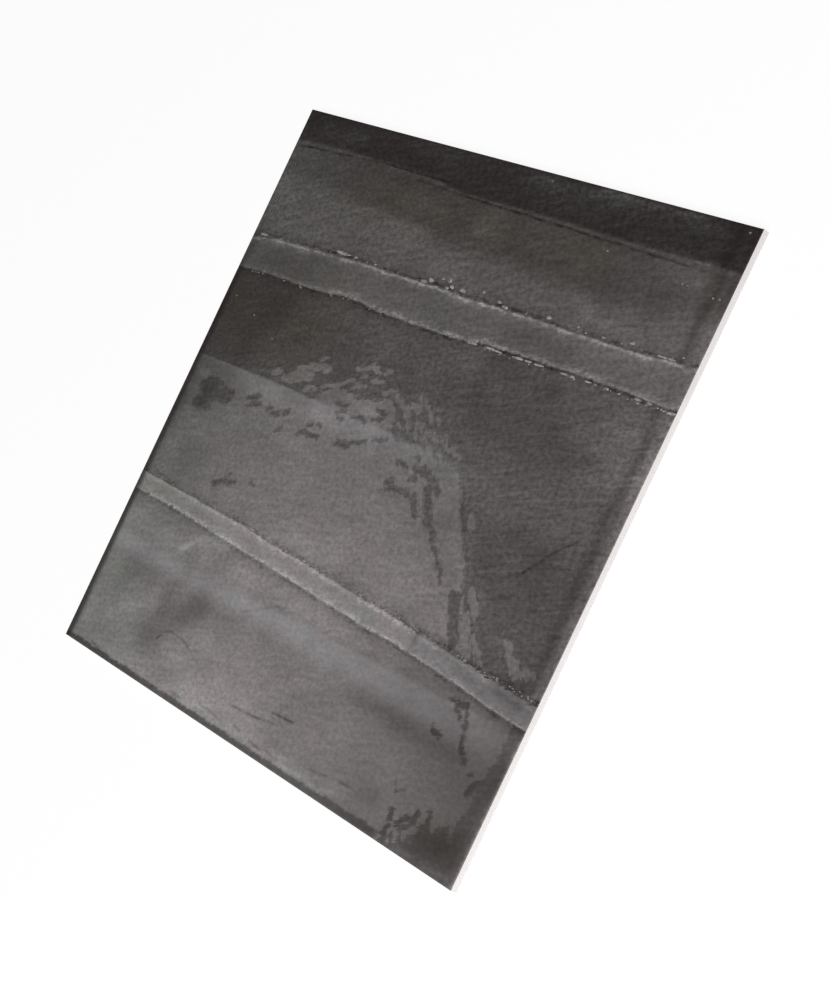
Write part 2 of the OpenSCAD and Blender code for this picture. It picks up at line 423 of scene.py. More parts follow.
# Lower cool bar, a painted reflection too: its head at x = 0 and how it rises, how soft it is at the left
# and at the right, the x between which that changes, the y over which its foot fades, and the x over which
# the bar goes
COOL_LOW_HEAD, COOL_LOW_RISE = -170.0, 0.027
COOL_LOW_SOFT, COOL_LOW_TURN = (9.0, 2.0), (-200.0, 50.0)
COOL_LOW_FOOT = (-201.0, -183.0)
COOL_LOW_GOES = (200.0, 320.0)
# Both painted reflections: levels that they add, share of their cast, and share of the mottle that they calm
REFLECTION_LIFT = 13.0
REFLECTION_TINT = 0.7
REFLECTION_CALM = 0.35


def from_line(x, y, x0, y0, x1, y1):
    """Distance of every point from the straight line between two ends."""
    run = np.array([x1 - x0, y1 - y0], float)
    share = np.clip(((x - x0) * run[0] + (y - y0) * run[1]) / (run @ run), 0, 1)
    return np.hypot(x - x0 - share * run[0], y - y0 - share * run[1])


def soft_line(x, y, x0, y0, x1, y1, half_width):
    """Bell over a line: exp(-d^2), with d the distance from the line in half widths."""
    return np.exp(-((from_line(x, y, x0, y0, x1, y1) / half_width) ** 2))


def past_scratch(x, y):
    """Signed distance across the nearest scratch, as if it ran on straight, and the share of the light
    that it takes, which fades out round it and past its ends."""
    away = np.array([from_line(x, y, *ends) for *ends, _ in SCRATCHES])
    nearest = np.argmin(away, axis=0)
    x0, y0, x1, y1, burn = np.array(SCRATCHES, float)[nearest].transpose(2, 0, 1)
    aside = ((x - x0) * (y1 - y0) - (y - y0) * (x1 - x0)) / np.hypot(x1 - x0, y1 - y0)
    return aside, burn * (1 - ease(away.min(axis=0), *SCRATCH_REACH))


def inside_outline(x, y, corners):
    """How far inside a closed outline every point lies, below 0 outside it. A point is inside when the
    line from it to the right crosses an odd number of sides."""
    away = np.full(x.shape, np.inf)
    odd = np.zeros(x.shape, bool)
    for (x0, y0), (x1, y1) in zip(corners, corners[1:] + corners[:1]):
        away = np.minimum(away, from_line(x, y, x0, y0, x1, y1))
        slope = (x1 - x0) / (y1 - y0) if y1 != y0 else 0.0
        odd ^= ((y0 > y) != (y1 > y)) & (x < x0 + (y - y0) * slope)
    return np.where(odd, away, -away)


def stroke_depth(x, y, strokes):
    """How deep inside the nearest of these strokes every point lies, below 0 outside all of them."""
    return np.max([half - from_line(x, y, *ends) for *ends, half in strokes], axis=0)


def plate_level(x, y, foot, head, tone):
    """Level of one plate between its foot and head lines: its foot's level eased into its head's."""
    share = ease((y - foot) / (head - foot), *tone[2])
    return across(x, *tone[0]) * (1 - share) + across(x, *tone[1]) * share


def regions(x, y):
    """The six plates and bands from the foot up: which points are on each, and its foot and head. The
    top plate blends softly into the one below it."""
    lines = [
        np.full(x.shape, -HALF),
        *(band_edge(x, band, side) for band in BANDS for side in (-1, 1)),
        run_through(x, LAP_LINE),
        np.full(x.shape, HALF),
    ]
    on = [(y >= low) & (y < high) for low, high in zip(lines, lines[1:])]
    on[0] = y < lines[1]
    on[-1] = ease(y - lines[-2], -LAP_SOFT, LAP_SOFT)
    on[-2] = (y >= lines[-3]) * (1 - on[-1])
    return list(zip(on, lines, lines[1:]))


def reflection_bar_share(x, y):
    """Painted reflection of cool light as two bars across the plates: one with a sharp head that fades down,
    faster to the right, and a lower one with a sharp head that rises to the right and a soft foot."""
    drop = COOL_BAR_DROP[0] + (COOL_BAR_DROP[1] - COOL_BAR_DROP[0]) * ease(x, *COOL_BAR_TURN)
    upper = (y < COOL_BAR_HEAD) * np.exp(-((COOL_BAR_HEAD - y) / drop) ** 2)
    upper = upper * ease(x, *COOL_BAR_COMES) * (1 - ease(x, *COOL_BAR_GOES))
    below_head = COOL_LOW_HEAD + COOL_LOW_RISE * x - y
    soft = COOL_LOW_SOFT[0] + (COOL_LOW_SOFT[1] - COOL_LOW_SOFT[0]) * ease(x, *COOL_LOW_TURN)
    lower = ease(below_head / soft, -1, 1) * ease(y, *COOL_LOW_FOOT) * (1 - ease(x, *COOL_LOW_GOES))
    return np.maximum(upper, lower)


# Left edge: the share of light that its darker strip takes, the mm from the edge and the y over which the
# strip ends
LEFT_DARKENING, LEFT_END, LEFT_HEAD = 0.52, (4.0, 12.0), (110.0, 150.0)
# Right edge: y and the share of light that the burnt stripe takes, how far in it lies, its half width and
# how it wanders; y and the share that the worn strip beside it gains, and the mm over which that ends
STRIPE_BURN = (
    (-150, 0), (-100, 0.17), (128, 0.15), (135, 0.04), (172, 0.04), (180, 0.22), (230, 0.28), (300, 0.22),
)
STRIPE_IN, STRIPE_HALF = 18.0, 4.5
STRIPE_LENGTHS, STRIPE_REACH = (47, 83, 160), (0.8, 1.2, 1.6)
STRIP_WEAR = (
    (-290, 0.2), (-220, 0.1), (-175, 0.1), (-155, 0), (-132, 0), (-125, 0.36), (0, 0.32), (85, 0.22),
    (128, 0.18), (135, 0.02), (172, 0.02), (180, 0.14), (210, 0.13), (240, -0.22), (300, -0.15),
)
STRIP_END = (5.0, 12.0)
# Worn arris on the right and burnt line along the head: the share of light, the mm over which each ends,
# and the y over which the worn arris ends
ARRIS_WEAR, ARRIS_END, ARRIS_HEAD = 0.4, (1.0, 4.0), (-170.0, -150.0)
HEAD_BURN, HEAD_END = 0.3, (1.0, 4.5)
# Foot: x and the height of the darker strip along it, how its head wanders and how soft that is, and x and
# the share of light that the strip takes
FOOT_STRIP = ((-300, 6), (60, 6.3), (110, 6.8), (140, 8), (195, 8.8))
FOOT_LENGTHS, FOOT_REACH = (5, 8, 17, 41), (0.35, 0.4, 0.4, 0.5)
FOOT_SOFT = 1.0
FOOT_DARKENING = ((-300, 0.48), (0, 0.43), (90, 0.36), (150, 0.36), (195, 0.43), (206, -0.05))


def borders(x, y):
    """Share of the light that the print keeps near the tile's edges: a darker strip along the left
    edge below the upper band and along the foot; on the right a burnt stripe that wanders a little in
    from the edge, a worn strip beside it, and a worn arris below the lower band; and a burnt head."""
    left = 1 - LEFT_DARKENING * (1 - ease(x + HALF, *LEFT_END)) * (1 - ease(y, *LEFT_HEAD))
    above_strip = y + HALF - run_through(x, FOOT_STRIP) - wander(x, "foot", FOOT_LENGTHS, FOOT_REACH)
    foot = 1 - run_through(x, FOOT_DARKENING) * (1 - ease(above_strip, -FOOT_SOFT, FOOT_SOFT))
    from_stripe = HALF - x - STRIPE_IN - wander(y, "stripe", STRIPE_LENGTHS, STRIPE_REACH)
    stripe = 1 - run_through(y, STRIPE_BURN) * np.exp(-((from_stripe / STRIPE_HALF) ** 2))
    strip = 1 + run_through(y, STRIP_WEAR) * (1 - ease(HALF - x, *STRIP_END))
    arris = 1 + ARRIS_WEAR * (1 - ease(HALF - x, *ARRIS_END)) * (1 - ease(y, *ARRIS_HEAD))
    head = 1 - HEAD_BURN * (1 - ease(HALF - y, *HEAD_END))
    return left * foot * stripe * strip * arris * head


def dull_depth(x, y):
    """How deep inside the island or the nearest dull stroke every point lies, below 0 outside them."""
    return np.maximum(inside_outline(x, y, ISLAND), stroke_depth(x, y, DULL_STROKES))


def burnished_depth(x, y):
    """How deep inside the burnished print every point lies, in mm, below 0 where the print is dull."""
    lower_foot, lower_head = (band_edge(x, "lower", side) for side in (-1, 1))
    depth = np.where(
        y < lower_foot, inside_outline(x, y, LOWER_PATCH), inside_outline(x, y, MIDDLE_PATCH),
    )
    depth = np.minimum(depth, -dull_depth(x, y))
    depth = np.maximum(depth, stroke_depth(x, y, BRIGHT_FLAKES))
    depth = np.clip(depth, -DEEPEST, DEEPEST)
    depth = np.where(y > band_edge(x, "upper", -1), NEVER, depth)
    return np.where((y >= lower_foot) & (y <= lower_head), -NEVER, depth)


def print_levels(x, y):
    """sRGB levels of the dull and of the burnished print at every point, with the painted reflection of the
    cool bars added.
    """
    tones = (
        (LOWER_CORNER, LOWER_PLATE), (LOWER_BAND, LOWER_BAND), (MIDDLE_PLATE_DULL, MIDDLE_PLATE_BRIGHT),
        (UPPER_BAND, UPPER_BAND), (UPPER_PLATE, UPPER_PLATE), (TOP_PLATE, TOP_PLATE),
    )
    # The cool bars add painted reflection to the print's light
    change = REFLECTION_LIFT * reflection_bar_share(x, y)
    change = change + sum(lift * soft_line(x, y, *line) for *line, lift in CLOUDS)
    change = change - STROKE_BURN * ease(dull_depth(x, y), *STROKE_EASE)
    kept = borders(x, y)
    return [
        (change + sum(
            here * plate_level(x, y, foot, head, pair[kind])
            for (here, foot, head), pair in zip(regions(x, y), tones)
        )) * kept
        for kind in (0, 1)
    ]


def print_tint(x, y):
    """Colour of the palest metal at every point, as linear light: pewter, turned to each cast in turn, and
    last to the cool tint of the bars of painted reflection.
    """
    tint = np.broadcast_to(paint(PEWTER), (*x.shape, 4))
    shares = [(cast, peak * soft_line(x, y, *line)) for cast, *line, peak in CASTS]
    for cast, share in [*shares, (COOL_PEWTER, REFLECTION_TINT * reflection_bar_share(x, y))]:
        tint = tint + share[..., None] * (np.array(paint(cast)) - tint)
    return tint


# How each band edge looks at its left, middle and right: light added on its worn rim as a painted
# highlight, light taken by the painted shade beside it, and how far both are jagged
EDGE_LOOKS = {
    ("lower", -1): ((0.35, 0.38, 0.12), (0.35, 0.3, 0.5), (16, 12, 16)),
    ("lower", 1): ((0.22, 0.45, 0.25), (0.4, 0.3, 0.65), (16, 12, 26)),
    ("upper", -1): ((0.12, 0.9, 0.4), (0.4, 0.54, 0.48), (8, 8, 8)),
    ("upper", 1): ((0.95, 1.1, 0.65), (0.45, 0.55, 0.4), (6, 6, 6)),
}
# How far from a band edge its jaggedness begins to fade and is gone
JAGGED_FADE = (8.0, 16.0)


def edge_looks(x, y):
    """Light added by the painted highlight on the rim and taken by the painted shade beside the band edge
    nearest to every point, and how far they are jagged, which fades out away from the edge."""
    nearest = np.full(x.shape, np.inf)
    looks = np.zeros((3, *x.shape))
    for (band, side), parts in EDGE_LOOKS.items():
        away = np.abs(y - band_edge(x, band, side))
        nearer = away < nearest
        nearest = np.where(nearer, away, nearest)
        looks = np.where(nearer, [across(x, *part) for part in parts], looks)
    looks[2] *= 1 - ease(nearest, *JAGGED_FADE)
    return looks


# How strongly the mottle shows at the left, middle and right of each plate and band, from the foot up
GRAIN = (
    (0.8, 0.95, 0.68), (0.75, 0.75, 0.75), (1.0, 1.0, 1.0), (0.68, 0.75, 0.82), (1.05, 0.95, 0.8),
    (1.7, 1.7, 1.7),
)
# The burnished patch is torn this far, but ends in a straight line here, along the sharp head of the painted
# reflection: start x and y, end x and y
TORN_REACH = 14.0
CLEAN_LINE = (-300, 25, -120, 25)
CLEAN_HALF = 7.0
# Its torn strokes rise to the right, but fall once past this stretch of x and of y
FALL_X, FALL_Y = (-15.0, 15.0), (-165.0, -150.0)
PRINT_FIELDS = (
    "past_edge", "dull_print", "bright_print", "burnished_depth", "torn_reach", "strokes_fall", "past_lap",
    "past_seam", "seam_burn", "past_scratch", "scratch_burn", "rim_light", "painted_edge_shade", "jagged_reach",
    "grain",
)


def face_print(x, y):
    """The print's fields at every point: mm past the nearest band edge, dull and bright lightness as
    linear light, mm inside the burnished print, how far its edge is torn, how much its torn strokes fall
    to the right instead of rising, mm above the lap, mm above the seam and the light that it takes, the
    same for the nearest scratch, the looks of the nearest band edge, and the grain."""
    dull, bright = (linear(np.maximum(level, 0)) for level in print_levels(x, y))
    torn = TORN_REACH * (1 - soft_line(x, y, *CLEAN_LINE, CLEAN_HALF))
    falling = ease(x, *FALL_X) * ease(y, *FALL_Y)
    grain = sum(here * across(x, *shares) for (here, _, _), shares in zip(regions(x, y), GRAIN))
    # Under the cool bars' painted reflection the mottle shows less
    grain = grain * (1 - REFLECTION_CALM * reflection_bar_share(x, y))
    return dict(zip(PRINT_FIELDS, (
        past_edges(x, y), dull, bright, burnished_depth(x, y), torn, falling, past_lap(x, y),
        past_seam(x, y), run_through(x, SEAM_BURN), *past_scratch(x, y), *edge_looks(x, y), grain,
    )))


def grid_quads(rows, columns, first=0):
    """Corners of every cell of a grid of points, anticlockwise as seen with rows up."""
    at = first + np.arange(rows * columns).reshape(rows, columns)
    return np.stack([at[:-1, :-1], at[:-1, 1:], at[1:, 1:], at[1:, :-1]], -1).reshape(-1, 4)


def outline(rows, columns, first=0):
    """The four sides of a grid's rim, each as its points in order, anticlockwise from the foot."""
    at = first + np.arange(rows * columns).reshape(rows, columns)
    return at[0], at[:, -1], at[-1, ::-1], at[::-1, 0]


def zip_sides(points, low, high, along):
    """Triangles between two rows of points: both are walked by how far along they lie, and each
    step forward on either row closes one triangle with the point reached on the other."""
    low_at = np.abs(points[low] - points[low[0]]) @ along
    high_at = np.abs(points[high] - points[high[0]]) @ along
    order = np.argsort(np.concatenate([high_at[1:], low_at[1:]]), kind="stable")
    on_high = order < len(high) - 1
    i = np.cumsum(on_high) - on_high
    j = np.cumsum(~on_high) - ~on_high
    third = np.where(on_high, high[np.minimum(i + 1, len(high) - 1)], low[np.minimum(j + 1, len(low) - 1)])
    return np.stack([low[j], third, high[i]], -1)


def back_grid():
    """Points of the back: lines at both ends and along each pocket's mouth and floor. A point lies at
    the pocket's depth where both of its lines belong to a floor."""
    first = -(POCKET_COUNT - 1) * POCKET_PITCH / 2
    middles = first + POCKET_PITCH * np.arange(POCKET_COUNT)
    half = POCKET / 2
    across_one = np.array([-half, POCKET_DRAFT - half, half - POCKET_DRAFT, half])
    lines = np.concatenate([[-HALF], (middles[:, None] + across_one).ravel(), [HALF]])
    floor_line = np.concatenate([[0], np.tile([0, 1, 1, 0], POCKET_COUNT), [0]])
    x, y = np.meshgrid(lines, lines)
    return np.stack([x, y, POCKET_DEPTH * np.outer(floor_line, floor_line)], -1)


# Shares of the bake map: the face takes most of it, the back a narrow column, and the edges the strip
# above, in four rows that each is filled so far
FACE_SHARE = 0.86
MAP_GAP = 0.01
ROW_FILL = 0.8


def bake_map(points, corners, patch):
    """Places on the bake map for each face corner: patch 0 is the face, 1 to 4 the edges, 5 the back."""
    x, y, z = ((points[corners] + (HALF, HALF, 0)) / (2 * HALF, 2 * HALF, TOP)).T
    past_face = FACE_SHARE + MAP_GAP
    rest = 1 - past_face - MAP_GAP
    along = np.where((patch == 1) | (patch == 3), x, y)
    row = patch - 1 + ROW_FILL * z
    on = [patch == 0, patch == 5]
    u = np.select(on, [x * FACE_SHARE, past_face + x * rest], along * FACE_SHARE)
    v = np.select(on, [y * FACE_SHARE, y], past_face + row * rest / 4)
    return np.stack([u, v], -1)


def add_object(name, data):
    """A new object with this data, in the scene."""
    added = bpy.data.objects.new(name, data)
    bpy.context.scene.collection.objects.link(added)
    return added


def add_field(piece, name, values):
    """Gives each point of a piece its own value, under this name."""
    field = piece.data.attributes.new(name, "FLOAT", "POINT")
    field.data.foreach_set("value", values.astype(np.float32))


def new_piece(name, points, faces, smooth, slots, slot_of_face):
    """A mesh object from points in millimetres and lists of face corners, with its materials."""
    mesh = bpy.data.meshes.new(name)
    mesh.from_pydata((points * MM).tolist(), [], faces)
    for material in slots:
        mesh.materials.append(material)
    mesh.polygons.foreach_set("use_smooth", smooth)
    mesh.polygons.foreach_set("material_index", slot_of_face)
    return add_object(name, mesh)


def make_tile(glaze, biscuit):
    """The fired tile as one closed skin: glazed face with its arris, four ground edges, pocketed back."""
    x, y = face_grid()
    past = past_edges(x, y)
    face = np.stack([x, y, face_height(x, y, past)], -1)
    back = back_grid()
    points = np.concatenate([face.reshape(-1, 3), back.reshape(-1, 3)])
    face_quads = grid_quads(*x.shape)
    back_quads = grid_quads(*back.shape[:2], first=x.size)[:, ::-1]
    sides = [
        zip_sides(points, low, high, np.array(along))
        for low, high, along in zip(
            outline(*back.shape[:2], first=x.size), outline(*x.shape), ((1, 0, 0), (0, 1, 0)) * 2
        )
    ]
    patches = (face_quads, *sides, back_quads)
    faces = sum((cells.tolist() for cells in patches), [])
    on_face = np.arange(len(faces)) < len(face_quads)
    tile = new_piece("glazed_tile", points, faces, on_face, (glaze, biscuit), np.where(on_face, 0, 1))
    corners = np.concatenate([cells.ravel() for cells in patches])
    patch = np.repeat(np.arange(len(patches)), [cells.size for cells in patches])
    places = tile.data.uv_layers.new(name="OFBake")
    places.data.foreach_set("uv", bake_map(points, corners, patch).ravel())

    spare = len(points) - x.size
    for name, values in face_print(x, y).items():
        add_field(tile, name, np.pad(values.ravel(), (0, spare)))
    tint = tile.data.attributes.new("metal_tint", "FLOAT_COLOR", "POINT")
    tint.data.foreach_set("color", np.pad(print_tint(x, y).reshape(-1, 4), ((0, spare), (0, 0))).ravel())
    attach(tile, "root")
    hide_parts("tile")


# Single beads beside the upper band: x, y, length, width
SINGLE_BEADS = (
    (-284, 161, 13, 2.6), (-256, 161.5, 4, 2.8), (-245, 162.5, 4, 3.4), (-159, 169, 22, 4),
    (-140, 169, 6, 2.2), (-110, 168.5, 4, 2.4), (-38, 168.5, 10, 4.2), (-30, 172, 7, 4.4),
    (-16, 176.5, 4, 2.4), (-7, 177, 7, 5), (-7, 169.5, 6, 3.4), (-1, 172, 6, 3.4), (14, 172, 8, 4.4),
    (40, 177, 4, 2.4), (63, 173, 6, 3.2), (72, 170, 9, 3.4), (126, 174, 7, 3.4), (162, 174.5, 4, 2.6),
    (194, 173, 6, 2), (225, 176.5, 8, 3.2), (266, 173.6, 20, 2.6), (282, 178.5, 3, 2.2),
    (-60, 129, 18, 2.2), (-31, 129.5, 22, 2.8), (-10, 129, 12, 2.4), (13, 129, 26, 2.6), (54, 129.5, 14, 3),
    (80, 130.5, 24, 2.6), (113, 131, 16, 2.4), (126, 131.5, 9, 2.2), (139, 131.5, 12, 2.4),
    (171, 132, 10, 2.6), (180, 132, 7, 2.2), (199, 132.5, 8, 2), (208, 132.5, 5, 1.8), (221, 132.5, 6, 2.4),
    (257, 133, 9, 2.4), (270, 133, 7, 2.4), (295, 131.5, 10, 3),
)
# Rows of crumbs: which band and side, from x to x, how many, mm past the edge from and to, longest,
# and how pale they are
CRUMB_ROWS = (
    ("upper", -1, -280, -255, 4, 1.5, 3.0, 6.0, 0.1),
    ("upper", -1, -225, -60, 10, 1.0, 3.0, 5.0, 0.2),
    ("upper", -1, 70, 160, 9, 3.5, 6.5, 3.5, 0.4),
    ("upper", -1, 162, 297, 14, 3.0, 6.0, 3.5, 0.6),
    ("upper", 1, -210, -60, 7, 1.0, 2.6, 3.0, 0.5),
    ("upper", 1, 90, 290, 10, 1.2, 3.4, 3.0, 0.5),
    ("lower", 1, -118, -98, 6, 1.0, 2.4, 5.0, 1.0),
    ("lower", 1, -60, 100, 7, 0.4, 2.0, 2.6, 0.6),
    ("lower", 1, 150, 220, 8, 0.4, 2.6, 4.0, 0.4),
    ("lower", 1, 220, 296, 18, 0.2, 4.0, 4.0, 0.3),
)
# Specks away from the bands: x and y
FREE_SPECKS = (
    (247, 237), (253, 237), (283, 233), (290, 233.5), (-282, 92), (-243, 80), (-202, 64.5), (155, 246),
    (289, 294), (58, 293), (88, -264), (89, -261), (87, -272), (-187, -189),
)
SPECK_LENGTH, SPECK_WIDTH, SPECK_PALE = 2.8, 1.9, 0.4
# Crumbs are drawn between these shares of the longest, and between these widths. A bead's half height is
# this share of its width, within these limits, and its outline swells so far two and three times round.
CRUMB_SHARES, CRUMB_WIDTHS = (0.4, 1.0), (1.2, 2.2)
BEAD_RISE, BEAD_HEIGHTS = 0.2, (0.25, 0.6)
BEAD_SWELL = {2: 0.12, 3: 0.1}
BEAD_RINGS = 5
BEAD_SIDES = 12
BEAD_SINK = 0.08


def bead_places():
    """Middle x and y, half length, half width and half height of every bead, and how pale it is: the
    single ones as listed, and for each row of crumbs that many drawn evenly between its limits."""
    draw = np.random.default_rng(SEEDS["beads"])
    x, y, long, wide = np.array(SINGLE_BEADS, float).T
    rows = [np.stack([x, y, long, wide, np.ones_like(x)])]
    for band, side, start, end, count, near, far, longest, pale in CRUMB_ROWS:
        x = draw.uniform(start, end, count)
        out = draw.uniform(near, far, count) * side
        long = draw.uniform(*CRUMB_SHARES, count) * longest
        wide = np.minimum(long, draw.uniform(*CRUMB_WIDTHS, count))
        rows.append(np.stack([x, band_edge(x, band, side) + out, long, wide, np.full_like(x, pale)]))
    x, y = np.array(FREE_SPECKS, float).T
    rows.append(np.stack([x, y, *(np.full_like(x, v) for v in (SPECK_LENGTH, SPECK_WIDTH, SPECK_PALE))]))
    x, y, long, wide, pale = np.concatenate(rows, 1)
    return x, y, long / 2, wide / 2, np.clip(BEAD_RISE * wide, *BEAD_HEIGHTS), pale


def make_beads(glass):
    """Beads fused to the face beside the bands. Each is an ellipsoid whose outline swells two and three
    times round, worked out on rings and sides between two poles, and half sunk in the face."""
    x, y, long, wide, tall, pale = (v[:, None, None] for v in bead_places())
    draw = np.random.default_rng(SEEDS["swell"])
    turn = 2 * np.pi * np.arange(BEAD_SIDES) / BEAD_SIDES
    rise = np.pi * (np.arange(1, BEAD_RINGS + 1) / (BEAD_RINGS + 1) - 0.5)
    shift = draw.uniform(0, 2 * np.pi, (2, *x.shape))
    swell = 1 + sum(reach * np.cos(n * turn + s) for (n, reach), s in zip(BEAD_SWELL.items(), shift))
    girth = np.cos(rise)[:, None] * swell
    line, _ = BANDS["upper"]
    slope = np.arctan2(across(x + 1, *line) - across(x - 1, *line), 2)
    along = long * girth * np.cos(turn)
    aside = wide * girth * np.sin(turn)
    up = np.broadcast_to(FACE - BEAD_SINK + tall * np.sin(rise)[:, None], along.shape)
    rings = np.stack([
        x + along * np.cos(slope) - aside * np.sin(slope),
        y + along * np.sin(slope) + aside * np.cos(slope),
        up,
    ], -1)
    count = len(x)
    middle = np.concatenate([x[:, 0], y[:, 0]], -1)
    poles = [
        np.concatenate([middle, FACE - BEAD_SINK + sign * tall[:, 0]], -1)[:, None] for sign in (-1, 1)
    ]
    points = np.concatenate([rings.reshape(count, -1, 3), *poles], 1)
    at = np.arange(BEAD_RINGS * BEAD_SIDES).reshape(BEAD_RINGS, BEAD_SIDES)
    after = np.roll(at, -1, axis=1)
    quads = np.stack([at[:-1], after[:-1], after[1:], at[1:]], -1).reshape(-1, 4)
    foot, head = at.size, at.size + 1
    fans = np.concatenate([
        np.stack([after[0], at[0], np.full(BEAD_SIDES, foot)], -1),
        np.stack([at[-1], after[-1], np.full(BEAD_SIDES, head)], -1),
    ])
    starts = points.shape[1] * np.arange(count)[:, None, None]
    faces = (quads + starts).reshape(-1, 4).tolist() + (fans + starts).reshape(-1, 3).tolist()
    beads = new_piece(
        "glaze_beads", points.reshape(-1, 3), faces, np.ones(len(faces), bool), (glass,),
        np.zeros(len(faces), int),
    )
    add_field(beads, "paleness", np.repeat(pale.ravel(), points.shape[1]))
    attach(beads, "root")


def add_node(tree, kind, inputs=(), **settings):
    """Adds a node of that kind, sets its own settings, and gives each named input its value or link."""
    node = tree.nodes.new("ShaderNode" + kind)
    for name, value in settings.items():
        setattr(node, name, value)
    for socket, value in dict(inputs).items():
        if isinstance(value, bpy.types.NodeSocket):
            tree.links.new(value, node.inputs[socket])
        else:
            node.inputs[socket].default_value = value
    return node


def new_material(name):
    """An empty node material, its tree and its output node."""
    material = bpy.data.materials.new(name)
    material.use_nodes = True
    material.node_tree.nodes.clear()
    return material, material.node_tree, add_node(material.node_tree, "OutputMaterial")


def maths(tree, operation, *values):
    """Result of one operation on these values or links."""
    return add_node(tree, "Math", dict(enumerate(values)), operation=operation).outputs[0]


def ramp(tree, value, window, ends=(0.0, 1.0), kind="LINEAR"):
    """The value, taken from the ends of its window to these ends and held at them outside it."""
    limits = dict(zip(("From Min", "From Max", "To Min", "To Max"), (*window, *ends)))
    node = add_node(tree, "MapRange", {"Value": value, **limits}, interpolation_type=kind)
    return node.outputs["Result"]


# A mix node's two inputs and its output, for values and for colours
MIX_SOCKETS = {"FLOAT": (2, 3, 0), "RGBA": (6, 7, 2)}


def mixed(tree, share, first, second, kind="RGBA", blend="MIX"):
    """The first value or colour, turned to the second by this share."""
    a, b, result = MIX_SOCKETS[kind]
    node = add_node(tree, "Mix", {0: share, a: first, b: second}, data_type=kind, blend_type=blend)
    return node.outputs[result]


def noise_at(tree, place, size, detail, roughness, **settings):
    """Noise whose features are this large, in the unit of the place."""
    inputs = {"Vector": place, "Scale": 1 / size, "Detail": detail, "Roughness": roughness}
    return add_node(tree, "TexNoise", inputs, **settings).outputs["Fac"]


def roughened(tree, height, depth):
    """Normals of a surface that this height roughens to a depth in mm."""
    inputs = {"Height": height, "Distance": depth * MM, "Strength": 1.0}
    return add_node(tree, "Bump", inputs).outputs["Normal"]


def coat(tree, out, inputs):
    """Ends a material in one surface with these inputs."""
    shader = add_node(tree, "BsdfPrincipled", inputs)
    tree.links.new(shader.outputs["BSDF"], out.inputs["Surface"])


BURNT_IRON = "#150807"
# Patterns of the print: length and width of their features in mm, how far they are turned in degrees, and
# the noise's detail and roughness
PATTERNS = {
    "mottle": (5.0, 4.0, 8, 4, 0.64),
    "brush": (30.0, 5.0, 17, 3, 0.55),
    "scratch": (45.0, 2.2, 24, 3, 0.5),
    "drift": (70.0, 50.0, 20, 4, 0.55),
    "tint": (34.0, 24.0, 10, 2, 0.5),
    "torn_rising": (12.0, 4.0, 28, 5, 0.65),
    "torn_falling": (12.0, 4.0, -52, 5, 0.65),
    "ragged": (5.0, 3.0, 20, 4, 0.65),
    "broken": (14.0, 8.0, 0, 4, 0.6),
}
# Level about which every noise swings
NOISE_MIDDLE = 0.5
# How far to both sides of its torn edge the burnished print is blurred
TORN_BLUR = 1.1
# How far the patterns swing the print's light: on dull and on burnished metal
SWINGS = {"mottle": (1.75, 1.1), "brush": (0.75, 0.5), "drift": (0.6, 0.65), "scratch": (0.5, 0.1)}
# Heat tint: the light that its greenish patches keep, and the noise at which they begin and are full
HEAT_TINT = (0.96, 0.997, 0.982, 1.0)
HEAT_WINDOW = (0.0, 0.12)
# Lines along the bands' edges, the lap, the seam and the scratches: field, mm past it, half width, the
# field that gives the change of light at the line's middle, or None for 1, and how many times it counts
LINES = (
    # Painted highlight along the bands' rims, narrow and wide
    ("past_edge", -1.8, 2.8, "rim_light", 1.0),
    ("past_edge", -5.0, 5.0, "rim_light", 0.2),
    # Painted shade beside the bands, narrow and wide
    ("past_edge", 2.2, 2.6, "painted_edge_shade", -1.0),
    ("past_edge", 6.0, 5.0, "painted_edge_shade", -0.25),
    # Painted highlight along the lap's ridge
    ("past_lap", -1.6, 2.2, None, 0.28),
    ("past_seam", 0.0, 2.2, "seam_burn", -1.0),
    ("past_scratch", 0.0, 2.6, "scratch_burn", -1.0),
)
# Those lines are broken: where the noise that breaks them begins and ends, to both sides of 0, and the
# shares of their strength that it leaves there
BREAK_WINDOW, BREAK_SHARES = 0.14, (0.3, 1.7)
# The glaze's roughness on dull and on burnished metal, its refraction, and the depth of its hammering in mm
GLOSS = (0.46, 0.38)
GLAZE_IOR = 1.52
HAMMER_DEPTH = 0.06


